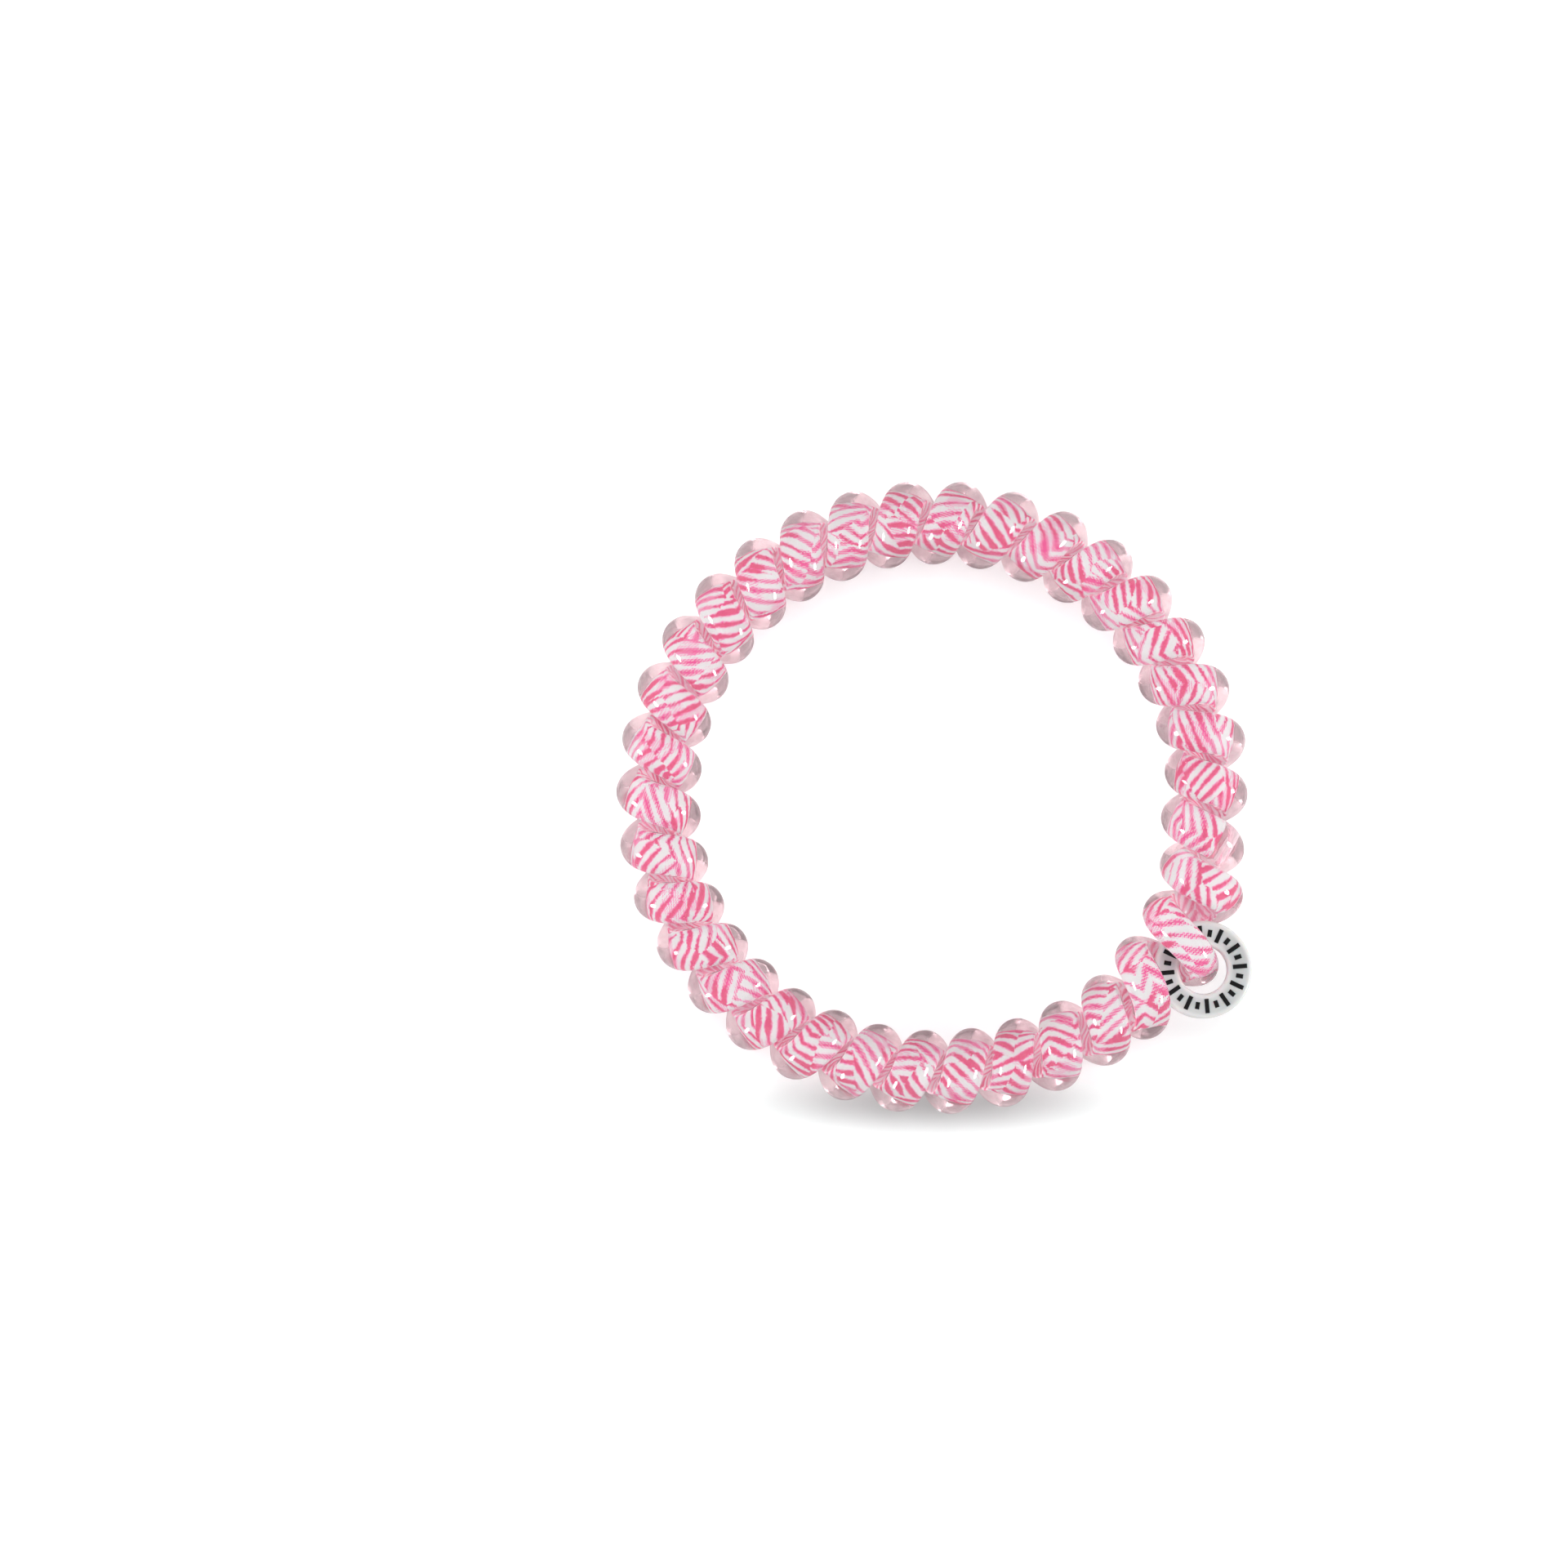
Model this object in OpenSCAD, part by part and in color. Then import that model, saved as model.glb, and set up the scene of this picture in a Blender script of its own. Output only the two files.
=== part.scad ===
// A spiral hair tie: a clear soft cord wound in a coil, bent round and joined into a loop.
// A printed ribbon runs inside the cord, and a flat ring tag is threaded on one turn.
// The loop lies on the plane z = 0, with the origin at its middle. All lengths are in millimetres.
// A place along the cord is a number of turns w, counted from where the cord passes the tag.

/* [Loop] */
// Outside diameter of the loop, away from the tag
loop_od = 55; // [48:0.5:70]
// Direction of the tag as seen from the middle of the loop, in degrees from the X axis
tag_angle = -32.6; // [-180:0.1:180]

/* [Cord] */
// Thickness of the cord, measured across the coil
cord_h = 3.56; // [3:0.02:4.2]
// Width of the cord, measured along the coil
cord_w = 3.6; // [3:0.02:4.2]
// Radius of the narrow space that is left down the middle of the coil
core_r = 0.09; // [0.05:0.01:0.5]
// Smallest gap between two turns, on the inner side of the loop
turn_gap = 0.2; // [0.1:0.01:0.6]

/* [Ribbon] */
// Width of the ribbon inside the cord
ribbon_w = 2.7; // [2:0.05:2.9]
// Thickness of the ribbon
ribbon_t = 0.3; // [0.2:0.05:0.5]
// How far the ribbon lies inwards of the cord's middle line
ribbon_inset = 0.15; // [0:0.05:0.3]
// Gap between the ribbon and the wall of its channel
channel_gap = 0.1; // [0.05:0.01:0.15]

/* [Joint] */
// Turns from the tag to the joint between the cord's ends
joint_at = 2.05; // [1.05:0.1:6.05]
// Length of the melted lump between the cord's ends
joint_len = 1.2; // [0.8:0.1:1.6]
// How far the lump stands out beyond the cord
joint_swell = 0.06; // [0:0.01:0.08]
// How far the turns at the joint are drawn in towards the middle of the loop
joint_pull = 0.8; // [0:0.1:1]
// Gap between the lump and each end of the cord
joint_gap = 0.08; // [0.02:0.01:0.15]
// Distance from the joint's middle to each end of the ribbon
ribbon_stop = 1.25; // [1.1:0.05:2]

/* [Tag] */
// Outside diameter of the tag
tag_od = 8.5; // [7.5:0.1:9.5]
// Diameter of the tag's hole
tag_hole = 4.2; // [4:0.1:4.8]
// Thickness of the tag
tag_t = 1.2; // [0.8:0.1:1.6]
// Radius of the tag's rounded edges
tag_edge = 0.35; // [0.1:0.05:0.35]
// Tilt of the tag about the line to the middle of the loop, in degrees
tag_tilt = -4.5; // [-6:0.5:6]
// Gap between the tag and the cord where it rests on the cord
seat_gap = 0.25; // [0.1:0.05:0.4]
// Gap between the tag and the turns that pass over, under and beside it
tag_clear = 0.2; // [0.15:0.01:0.4]

/* [Marks] */
// Number of raised bars round the tag's face, long and short in turn
mark_count = 24; // [8:2:30]
// Width of a bar
mark_w = 0.38; // [0.2:0.02:0.44]
// Height of a bar above the tag's face
mark_h = 0.1; // [0.05:0.01:0.2]
// Bare border between the bars and the tag's rounded edges
mark_border = 0.1; // [0.05:0.01:0.2]
// Length of a short bar as a share of a long one
mark_short = 0.5; // [0.4:0.05:1]

/* [Hidden] */

// Faces of the model
rings_per_turn = 10;
cord_sides = 8;
round_fn = 96;

// Coil away from the tag
coil_r = core_r + cord_h / 2;
loop_r = loop_od / 2 - coil_r - cord_h / 2;
inner_r = loop_r - coil_r;
turns = floor(inner_r / coil_r * sqrt(pow(2 * PI * coil_r / (cord_w + turn_gap), 2) - 1));
turn_angle = 360 / turns;
slope = atan(loop_r / (turns * coil_r));
turn_len = 2 * PI * coil_r / cos(slope);

// Cord where it is squeezed into the tag's hole
squeeze_room_h = 0.27;
squeeze_room_w = 0.3;
squeezed_h = min(cord_h, tag_hole * (1 - squeeze_room_h));
squeezed_w = min(cord_w, tag_hole * (1 - squeeze_room_w));
tag_shift = (tag_hole - squeezed_h) / 2 - seat_gap;

// Coil at the tag: wider, so that the tag lies between its front and back
tag_lift = tag_od / 2 * sin(abs(tag_tilt));
coil_z = tag_t / 2 + mark_h + tag_clear + tag_lift + squeezed_h / 2;
coil_n = (squeezed_h + tag_od) / 4 - tag_shift / 2;
loop_bulge = 0.25 * cord_h;
beside = tag_od / 2 + tag_clear + squeezed_w / cos(slope) / 2 + tag_t / 2 * tan(slope) + tag_clear;
beside_now = (loop_r + loop_bulge + coil_r) * turn_angle * PI / 180;
aside = max(0, beside - beside_now);
spread_share = 0.4;
spread = spread_share * aside;
push = (1 - spread_share) * aside;

// How far along the coil each change fades, in turns
bulge_fade = 3.2;
pull_fade = 1;
pull_at = joint_at + 0.3;
spread_fade = 1.2;
push_fade = 0.22;
height_fade = 1.7;
width_fade = 0.95;
squeeze_fade = 1.25;
pinch_fade = 0.25;
pinch_share = 0.45;

// A bell curve, and a smooth step from -1 to 1
function bell(w, fade) = exp(-pow(w / fade, 2));
function step_up(w, fade) = (1 - exp(-2 * w / fade)) / (1 + exp(-2 * w / fade));

// Turns counted from the tag the shorter way round
function near_tag(v) = v - turns * round(v / turns);

// How far a turn moves along the loop to make room for the tag, in millimetres
function make_room(w) =
    spread * (step_up(w, spread_fade) - step_up(turns / 2, spread_fade) * 2 * w / turns)
    + push * (bell(w - 1, push_fade) - bell(w + 1, push_fade));

// Sizes of the loop, the coil and the cord at a place along the cord
function ring_r(w) = loop_r + loop_bulge * bell(w, bulge_fade)
    - joint_pull * bell(w - pull_at, pull_fade);
function wind_z(w) = coil_r + (coil_z - coil_r) * bell(w, height_fade);
function wind_n(w) = coil_r + (coil_n - coil_r) * bell(w, width_fade);
function thick(w) = cord_h - (cord_h - squeezed_h) * bell(w, squeeze_fade);
function squeeze(w) = (1 - pinch_share) * bell(w, squeeze_fade) + pinch_share * bell(w, pinch_fade);
function wide(w) = cord_w - (cord_w - squeezed_w) * squeeze(w);

// Directions outwards from the loop's middle and away from the coil's middle
function loop_angle(w) = tag_angle + turn_angle * w + make_room(w) / ring_r(w) * 180 / PI;
function outwards(a) = [cos(a), sin(a), 0];
function away(w, a) = cos(360 * w) * outwards(a) + sin(360 * w) * [0, 0, 1];

// Middle line of the cord, a helix round the loop
function middle(w) =
    ring_r(w) * outwards(loop_angle(w))
    + wind_n(w) * cos(360 * w) * outwards(loop_angle(w))
    + (wind_z(w) * (1 + sin(360 * w)) + thick(w) / 2) * [0, 0, 1];

function unit(v) = v / norm(v);
small = 0.001;
function along(w) = unit(middle(w + small) - middle(w - small));
function square_to(v, t) = unit(v - (v * t) * t);

// Frame of the cord's section: its place, its direction away from the coil, and sideways
function section_frame(w) =
    let (t = along(w), e = square_to(away(w, loop_angle(w)), t))
    [middle(w), e, cross(t, e)];
function in_section(f, x, y) = f[0] + x * f[1] + y * f[2];

// Points of a round section and of a flat one, seen along the cord
function round_points(w, grow) =
    let (f = section_frame(w))
    [for (i = [0 : cord_sides - 1]) let (a = 360 * i / cord_sides)
        in_section(f, (thick(w) / 2 + grow) * cos(a), (wide(w) / 2 + grow) * sin(a))];
function flat_points(w, gap) =
    let (
        f = section_frame(w),
        x = ribbon_t / 2 + gap,
        y = ribbon_w / 2 * wide(w) / cord_w + gap
    )
    [for (c = [[1, 1], [-1, 1], [-1, -1], [1, -1]])
        in_section(f, c[0] * x - ribbon_inset, c[1] * y)];

// Places of the sections: the cord's two ends, the ribbon's two ends, and rings between them
joint_half = (joint_len / 2 + joint_gap) / turn_len;
stop_turn = ribbon_stop / turn_len;
first_ring = ceil(stop_turn * rings_per_turn + 0.3);
ribbon_places = concat(
    [joint_at + stop_turn],
    [for (k = [first_ring : turns * rings_per_turn - first_ring]) joint_at + k / rings_per_turn],
    [joint_at + turns - stop_turn]
);
cord_places = concat([joint_at + joint_half], ribbon_places, [joint_at + turns - joint_half]);

// The loop is lowered so that its lowest corner lies on the plane z = 0
floor_z = min([for (v = cord_places) for (p = round_points(near_tag(v), 0)) p[2]]);

// Side faces between sections of so many points. The first point of section k is number
// first + k * stride
function tube_sides(sections, sides, stride, first, outside) =
    [for (k = [0 : sections - 2]) for (i = [0 : sides - 1]) for (half = [0, 1])
        let (
            a = first + k * stride + i,
            b = first + k * stride + (i + 1) % sides,
            tri = half == 0 ? [a, b + stride, b] : [a, a + stride, b + stride]
        )
        outside ? tri : [tri[2], tri[1], tri[0]]];

// Solid bar swept through sections, with flat ends
module swept_bar(sections) {
    sides = len(sections[0]);
    last = (len(sections) - 1) * sides;
    polyhedron(
        points = [for (s = sections) for (p = s) p],
        faces = concat(
            tube_sides(len(sections), sides, sides, 0, true),
            [[for (i = [0 : sides - 1]) i]],
            [[for (i = [sides - 1 : -1 : 0]) last + i]]
        ),
        convexity = 20
    );
}

// Faces of an end of the cord, from the four corners of the channel to the points round it
function end_faces(first, outside) =
    [for (c = [0 : 3]) for (part = [0 : 2])
        let (
            corner = first + cord_sides + c,
            next_corner = first + cord_sides + (c + 1) % 4,
            o = [for (i = [0 : 2]) first + (c * cord_sides / 4 + i) % cord_sides],
            tri = part == 0 ? [corner, o[1], o[0]] :
                part == 1 ? [corner, o[2], o[1]] : [corner, next_corner, o[2]]
        )
        outside ? tri : [tri[2], tri[1], tri[0]]];

// The clear cord with the flat channel for the ribbon along its whole length
module coil_cord() {
    stride = cord_sides + 4;
    count = len(cord_places);
    sections = [for (v = cord_places) let (w = near_tag(v))
        concat(round_points(w, 0), flat_points(w, channel_gap))];
    color([0.96, 0.80, 0.83, 0.55])
    translate([0, 0, -floor_z])
    polyhedron(
        points = [for (s = sections) for (p = s) p],
        faces = concat(
            tube_sides(count, cord_sides, stride, 0, true),
            tube_sides(count, 4, stride, cord_sides, false),
            end_faces(0, false),
            end_faces((count - 1) * stride, true)
        ),
        convexity = 20
    );
}

// The printed ribbon inside the channel
module printed_ribbon() {
    color([0.93, 0.35, 0.55])
    translate([0, 0, -floor_z])
    swept_bar([for (v = ribbon_places) flat_points(near_tag(v), 0)]);
}

// The melted lump that joins the cord's ends
module welded_joint() {
    half = joint_len / 2 / turn_len;
    steps = 4;
    color([0.97, 0.86, 0.88])
    translate([0, 0, -floor_z])
    swept_bar([for (k = [-steps / 2 : steps / 2])
        let (s = k / (steps / 2))
        round_points(near_tag(joint_at + half * s), joint_swell * (1 - s * s))]);
}

// Places what follows in the tag's own frame: X away from the loop's middle, Z out of its face
module at_tag() {
    translate(middle(0) + tag_shift * outwards(loop_angle(0)) - [0, 0, floor_z])
    rotate([0, 0, loop_angle(0)])
    rotate([tag_tilt, 0, 0])
    children();
}

// The flat ring tag, with rounded edges
module tag_ring() {
    inside = tag_hole / 2;
    width = tag_od / 2 - inside;
    color([0.86, 0.88, 0.87])
    at_tag()
    rotate_extrude($fn = round_fn)
    translate([inside, -tag_t / 2])
    union() {
        translate([tag_edge, 0])
        square([width - 2 * tag_edge, tag_t]);
        translate([0, tag_edge])
        square([width, tag_t - 2 * tag_edge]);
        for (x = [tag_edge, width - tag_edge]) for (y = [tag_edge, tag_t - tag_edge])
            translate([x, y])
            circle(r = tag_edge, $fn = round_fn);
    }
}

// A bar with round ends, laid outwards from x = 0
module bar(length) {
    linear_extrude(mark_h)
    union() {
        translate([mark_w / 2, -mark_w / 2])
        square([length - mark_w, mark_w]);
        for (x = [mark_w / 2, length - mark_w / 2])
            translate([x, 0])
            circle(d = mark_w, $fn = round_fn / 4);
    }
}

// Raised bars round the tag's face, long and short in turn
module tag_marks() {
    start = tag_hole / 2 + tag_edge + mark_border;
    long_bar = tag_od / 2 - tag_edge - mark_border - start;
    color([0.05, 0.05, 0.05])
    at_tag()
    for (i = [0 : mark_count - 1])
        rotate([0, 0, 360 / mark_count * (i + 0.5)])
        translate([start + (i % 2) * long_bar * (1 - mark_short) / 2, 0, tag_t / 2])
        bar(long_bar * (i % 2 == 0 ? 1 : mark_short));
}

coil_cord();
printed_ribbon();
welded_joint();
tag_ring();
tag_marks();
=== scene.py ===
# %% [markdown]
# # A spiral hair tie
# A clear, soft cord is wound in a tight coil, and the coil is bent round into a loop. A thin woven
# ribbon with a pink zebra print is moulded into the cord, and a frosted ring hangs on one turn.
# The solid parts come from CAD. This lesson dresses them: each new piece is worked out with numpy
# from the same sizes, so it lies where its solid lies, and each finish is made with shader nodes.

import bpy
import numpy as np
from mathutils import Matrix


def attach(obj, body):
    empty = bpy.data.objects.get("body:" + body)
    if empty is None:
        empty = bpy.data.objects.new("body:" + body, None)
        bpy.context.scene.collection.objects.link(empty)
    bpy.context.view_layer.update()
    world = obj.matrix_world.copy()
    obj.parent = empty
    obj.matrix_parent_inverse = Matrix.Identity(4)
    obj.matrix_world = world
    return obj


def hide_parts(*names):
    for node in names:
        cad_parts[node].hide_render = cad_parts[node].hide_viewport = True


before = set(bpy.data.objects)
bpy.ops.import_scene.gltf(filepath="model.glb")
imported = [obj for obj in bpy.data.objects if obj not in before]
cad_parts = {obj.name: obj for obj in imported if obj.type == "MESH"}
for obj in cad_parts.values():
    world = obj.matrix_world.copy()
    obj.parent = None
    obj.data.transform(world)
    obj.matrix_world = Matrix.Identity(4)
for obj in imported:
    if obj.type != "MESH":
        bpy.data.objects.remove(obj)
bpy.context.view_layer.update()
print("solid parts:", sorted(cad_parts))

# %% [markdown]
# ## Camera
# The picture looks straight down on the tie, and the loop's middle lies right of the picture's
# middle. A long lens is used from further away, because a short one would show the sides of the
# outer turns. The distance follows from how many pixels one millimetre covers.

# %% Place the camera
MM = 0.001
PICTURE_PX = 1920
PX_PER_MM = 14.09
LOOP_PX = (1142, 976)
LENS_MM, SENSOR_MM = 100, 36
coil_top_mm = 7.3

middle_px = PICTURE_PX / 2
camera_x = (middle_px - LOOP_PX[0]) / PX_PER_MM * MM
camera_y = (LOOP_PX[1] - middle_px) / PX_PER_MM * MM
view_wide = PICTURE_PX / PX_PER_MM * MM
camera_z = view_wide * LENS_MM / SENSOR_MM + coil_top_mm / 2 * MM

camera_data = bpy.data.cameras.new("camera")
camera_data.lens = LENS_MM
camera_data.sensor_width = SENSOR_MM
camera_data.clip_start = 0.01
camera = bpy.data.objects.new("camera", camera_data)
camera.location = (camera_x, camera_y, camera_z)
bpy.context.collection.objects.link(camera)
bpy.context.scene.camera = camera
print(f"camera {camera_z:.3f} m above the floor, picture {view_wide / MM:.0f} mm wide")

# %% [markdown]
# ## Helpers for shader nodes
# A finish is a small graph of nodes. Short helpers keep the graphs readable: `put` adds a node and
# fills its inputs in order, `blend` mixes two colours, and `add_bump` makes a surface look uneven.
# An effect that several finishes use becomes a node group, which is built once by `new_group` and
# placed with its own values. Some nodes have several outputs, and the names below stand for the
# numbers of those used here.


# %% Helpers that add nodes
X, Y, Z = 0, 1, 2
RED, GREEN = 0, 1
OBJECT = 3
CAMERA_RAY, SHADOW_RAY, DIFFUSE_RAY = 0, 1, 2


def put(tree, kind, *inputs, out=0, **settings):
    """Adds a node and gives one output: a socket is linked, a value is set, None is left alone."""
    node = tree.nodes.new(kind)
    for name, value in settings.items():
        setattr(node, name, value)
    for socket, value in zip(node.inputs, inputs):
        if isinstance(value, bpy.types.NodeSocket):
            tree.links.new(value, socket)
        elif value is not None:
            socket.default_value = value
    return node.outputs[out]


def sums(tree, operation, *values):
    """One step of arithmetic on numbers or sockets."""
    return put(tree, "ShaderNodeMath", *values, operation=operation)


def ramp(tree, value, low, high, to_low=0.0, to_high=1.0):
    """A smooth step from to_low to to_high as the value goes from low to high."""
    return put(tree, "ShaderNodeMapRange", value, low, high, to_low, to_high,
               interpolation_type="SMOOTHSTEP")


def blend(tree, share, first, second):
    """A colour between the first, at share 0, and the second, at share 1."""
    node = tree.nodes.new("ShaderNodeMix")
    node.data_type = "RGBA"
    for socket, value in zip((node.inputs[0], node.inputs[6], node.inputs[7]),
                             (share, first, second)):
        if isinstance(value, bpy.types.NodeSocket):
            tree.links.new(value, socket)
        else:
            socket.default_value = value
    return node.outputs[2]


def new_group(name, inputs, outputs):
    """An empty shader group with named sockets: gives the group, its inputs and its output node."""
    group = bpy.data.node_groups.new(name, "ShaderNodeTree")
    kinds = {"value": "NodeSocketFloat", "vector": "NodeSocketVector", "colour": "NodeSocketColor"}
    for label, kind in inputs.items():
        group.interface.new_socket(name=label, in_out="INPUT", socket_type=kinds[kind])
    for label, kind in outputs.items():
        group.interface.new_socket(name=label, in_out="OUTPUT", socket_type=kinds[kind])
    source = group.nodes.new("NodeGroupInput")
    return group, source.outputs, group.nodes.new("NodeGroupOutput")


def use_group(tree, group, **inputs):
    """Places a group in a material, with spaces in its socket names written as underscores."""
    node = tree.nodes.new("ShaderNodeGroup")
    node.node_tree = group
    for name, value in inputs.items():
        socket = node.inputs[name.replace("_", " ")]
        if isinstance(value, bpy.types.NodeSocket):
            tree.links.new(value, socket)
        else:
            socket.default_value = value
    return node.outputs


def new_material(name, **sockets):
    """A material whose Principled shader has these values: gives it, its tree and the shader."""
    material = bpy.data.materials.new(name)
    material.use_nodes = True
    shader = material.node_tree.nodes["Principled BSDF"]
    for label, value in sockets.items():
        shader.inputs[label.replace("_", " ")].default_value = value
    return material, material.node_tree, shader


def add_bump(tree, shader, height, strength, distance):
    """Tilts the surface's normal as if a height from 0 to 1 raised it by the distance in metres."""
    bump = tree.nodes.new("ShaderNodeBump")
    bump.inputs["Strength"].default_value = strength
    bump.inputs["Distance"].default_value = distance
    tree.links.new(height, bump.inputs["Height"])
    tree.links.new(bump.outputs[0], shader.inputs["Normal"])


# %% [markdown]
# ## Helper for surfaces
# Every new piece is a grid of points. One side of the grid runs along the piece and the other runs
# round it, so a closed loop of cord closes in both directions, and only an open strip needs a cap
# at each end. The points come from numpy as one array, and the faces are worked out from the
# grid's numbering.


# %% Helper that turns a grid of points into a mesh
def grid_faces(rows, columns, close_rows, close_columns, flip=False):
    """Four-cornered faces of a rows by columns grid, as an array of point numbers."""
    row = np.arange(rows if close_rows else rows - 1)[:, None]
    column = np.arange(columns if close_columns else columns - 1)[None, :]
    next_row, next_column = (row + 1) % rows, (column + 1) % columns
    corners = [row * columns + column, row * columns + next_column,
               next_row * columns + next_column, next_row * columns + column]
    corners = corners[::-1] if flip else corners
    return np.stack([c.ravel() for c in corners], axis=1)


def end_caps(rows, columns):
    """The two many-cornered faces that close the ends of a tube: its first and its last ring."""
    ring = np.arange(columns)
    return np.array([ring[::-1], (rows - 1) * columns + ring])


def new_piece(name, points, faces, materials, face_slots=None, caps=None):
    """A smooth-shaded object at the origin from points in millimetres, faces and end caps."""
    mesh = bpy.data.meshes.new(name)
    closing = [] if caps is None else caps.tolist()
    mesh.from_pydata(points.reshape(-1, 3) * MM, [], faces.tolist() + closing)
    for material in materials:
        mesh.materials.append(material)
    if face_slots is not None:
        mesh.polygons.foreach_set("material_index", face_slots.astype(np.int32))
    mesh.polygons.foreach_set("use_smooth", np.ones(len(mesh.polygons), dtype=bool))
    mesh.update()
    piece = bpy.data.objects.new(name, mesh)
    bpy.context.collection.objects.link(piece)
    triangles = sum(len(p.vertices) - 2 for p in mesh.polygons)
    print(f"{name}: {len(mesh.vertices)} points, {triangles} triangles")
    return piece


def give_uv(piece, along, across):
    """Writes a UV map in millimetres, one value of each kind for each corner of each face."""
    layer = piece.data.uv_layers.new(name="strip")
    layer.data.foreach_set("uv", np.stack([along, across], axis=-1).ravel().astype(np.float32))


# %% [markdown]
# ## The coil's path
# The cord's middle line is a helix wound round a circle. Where the ring hangs, the turn swells,
# rises over the ring and is squeezed in its hole, and the turns beside it move apart. Each of
# these is a bell or a soft step along the cord, counted in turns from the ring, with the same
# values as in the solid part, so the dressed cord and the solid one coincide.

# %% Sizes of the coil, in millimetres and degrees
loop_od, tag_angle = 55, -32.6
cord_h, cord_w, core_r, turn_gap = 3.56, 3.6, 0.09, 0.2
joint_at, joint_pull = 2.05, 0.8
tag_od, tag_hole, tag_t, tag_edge, tag_tilt = 8.5, 4.2, 1.2, 0.35, -4.5
seat_gap, tag_clear, mark_h = 0.25, 0.2, 0.1
bulge_fade, spread_fade, push_fade, height_fade, width_fade = 3.2, 1.2, 0.22, 1.7, 0.95
squeeze_fade, pinch_fade, pinch_share = 1.25, 0.25, 0.45
pull_at, pull_fade = joint_at + 0.3, 1.0

coil_r = core_r + cord_h / 2
loop_r = loop_od / 2 - coil_r - cord_h / 2
inner_r = loop_r - coil_r
bare_turns = 2 * np.pi * coil_r / (cord_w + turn_gap)
turns = int(inner_r / coil_r * np.sqrt(bare_turns**2 - 1))
turn_angle = 360 / turns
slope = np.arctan(loop_r / (turns * coil_r))
turn_len = 2 * np.pi * coil_r / np.cos(slope)
print(f"{turns} turns of {turn_len:.1f} mm")

# %% How the turn in the ring differs from the others
hole_free_h, hole_free_w = 0.27, 0.3
bulge_share, spread_share = 0.25, 0.4
squeezed_h = min(cord_h, tag_hole * (1 - hole_free_h))
squeezed_w = min(cord_w, tag_hole * (1 - hole_free_w))
tag_shift = (tag_hole - squeezed_h) / 2 - seat_gap
tag_lift = tag_od / 2 * np.sin(np.radians(abs(tag_tilt)))
coil_z = tag_t / 2 + mark_h + tag_clear + tag_lift + squeezed_h / 2
coil_n = (squeezed_h + tag_od) / 4 - tag_shift / 2
loop_bulge = bulge_share * cord_h
beside = (tag_od / 2 + tag_clear + squeezed_w / np.cos(slope) / 2
          + tag_t / 2 * np.tan(slope) + tag_clear)
beside_now = (loop_r + loop_bulge + coil_r) * np.radians(turn_angle)
aside = max(0, beside - beside_now)
spread, push = spread_share * aside, (1 - spread_share) * aside
print(f"cord in the ring {squeezed_h:.2f} by {squeezed_w:.2f} mm, {aside:.2f} mm more room")


# %% The path as functions of the turns from the ring
def bell(w, fade):
    """One at the ring, dying away within about the given number of turns on both sides."""
    return np.exp(-((w / fade) ** 2))


def make_room(w):
    """How far a turn moves along the loop, in millimetres, to leave room for the ring."""
    far = np.tanh(turns / 2 / spread_fade) * 2 * w / turns
    return (spread * (np.tanh(w / spread_fade) - far)
            + push * (bell(w - 1, push_fade) - bell(w + 1, push_fade)))


def cord_size(w):
    """The cord's thickness away from the coil's axis, and its width across."""
    thick = cord_h - (cord_h - squeezed_h) * bell(w, squeeze_fade)
    pinch = ((1 - pinch_share) * bell(w, squeeze_fade) + pinch_share * bell(w, pinch_fade))
    return thick, cord_w - (cord_w - squeezed_w) * pinch


def cord_middle(v):
    """Points on the cord's middle line: a circle of radius ring_r for the loop, plus outwards
    times wind_n cos(turn) and upwards times wind_z sin(turn) for the coil.
    """
    w = v - turns * np.round(v / turns)
    ring_r = (loop_r + loop_bulge * bell(w, bulge_fade)
              - joint_pull * bell(w - pull_at, pull_fade))
    wind_z = coil_r + (coil_z - coil_r) * bell(w, height_fade)
    wind_n = coil_r + (coil_n - coil_r) * bell(w, width_fade)
    angle = np.radians(tag_angle + turn_angle * w) + make_room(w) / ring_r
    outwards = np.stack([np.cos(angle), np.sin(angle), np.zeros_like(angle)], axis=-1)
    cos_v, sin_v = np.cos(2 * np.pi * v), np.sin(2 * np.pi * v)
    height = wind_z * (1 + sin_v) + cord_size(w)[0] / 2
    middle = outwards * (ring_r + wind_n * cos_v)[..., None]
    middle[..., 2] += height
    return middle, outwards, cos_v, sin_v, w


def cord_frame(v):
    """The middle line with two unit directions square to it: away from the coil's axis, and
    across the cord, which is along cross away.
    """
    middle, outwards, cos_v, sin_v, w = cord_middle(v)
    step = 1e-4
    along = cord_middle(v + step)[0] - cord_middle(v - step)[0]
    along /= np.linalg.norm(along, axis=-1, keepdims=True)
    away = outwards * cos_v[..., None]
    away[..., 2] += sin_v
    away -= along * np.sum(away * along, axis=-1, keepdims=True)
    away /= np.linalg.norm(away, axis=-1, keepdims=True)
    return middle, away, np.cross(along, away), w


# %% Measure the path
STEPS_PER_TURN = 200
middle_line = cord_middle(np.arange(turns * STEPS_PER_TURN) / STEPS_PER_TURN)[0]
steps = np.roll(middle_line, -1, axis=0) - middle_line
cord_mm = np.linalg.norm(steps, axis=1).sum()
print(f"middle line {cord_mm:.0f} mm long, up to {middle_line[:, 2].max():.1f} mm high")

# %% [markdown]
# ## The clear cord
# The real cord is one piece of soft plastic with its two ends melted together. Two solids with a
# cut between them would show a line in the clear plastic, so the dressed cord is one closed
# surface that carries the joint's lump on it. It could be a curve with a bevel, but then its
# section couldn't change along the way.

# %% Shape of the clear cord
RINGS_PER_TURN, CORD_SIDES = 56, 40
joint_swell, joint_fade, joint_corners = 0.1, 0.1, 3
slow_wave, slow_count = 0.012, 3
quick_wave, quick_count = 0.01, 0.618


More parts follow.
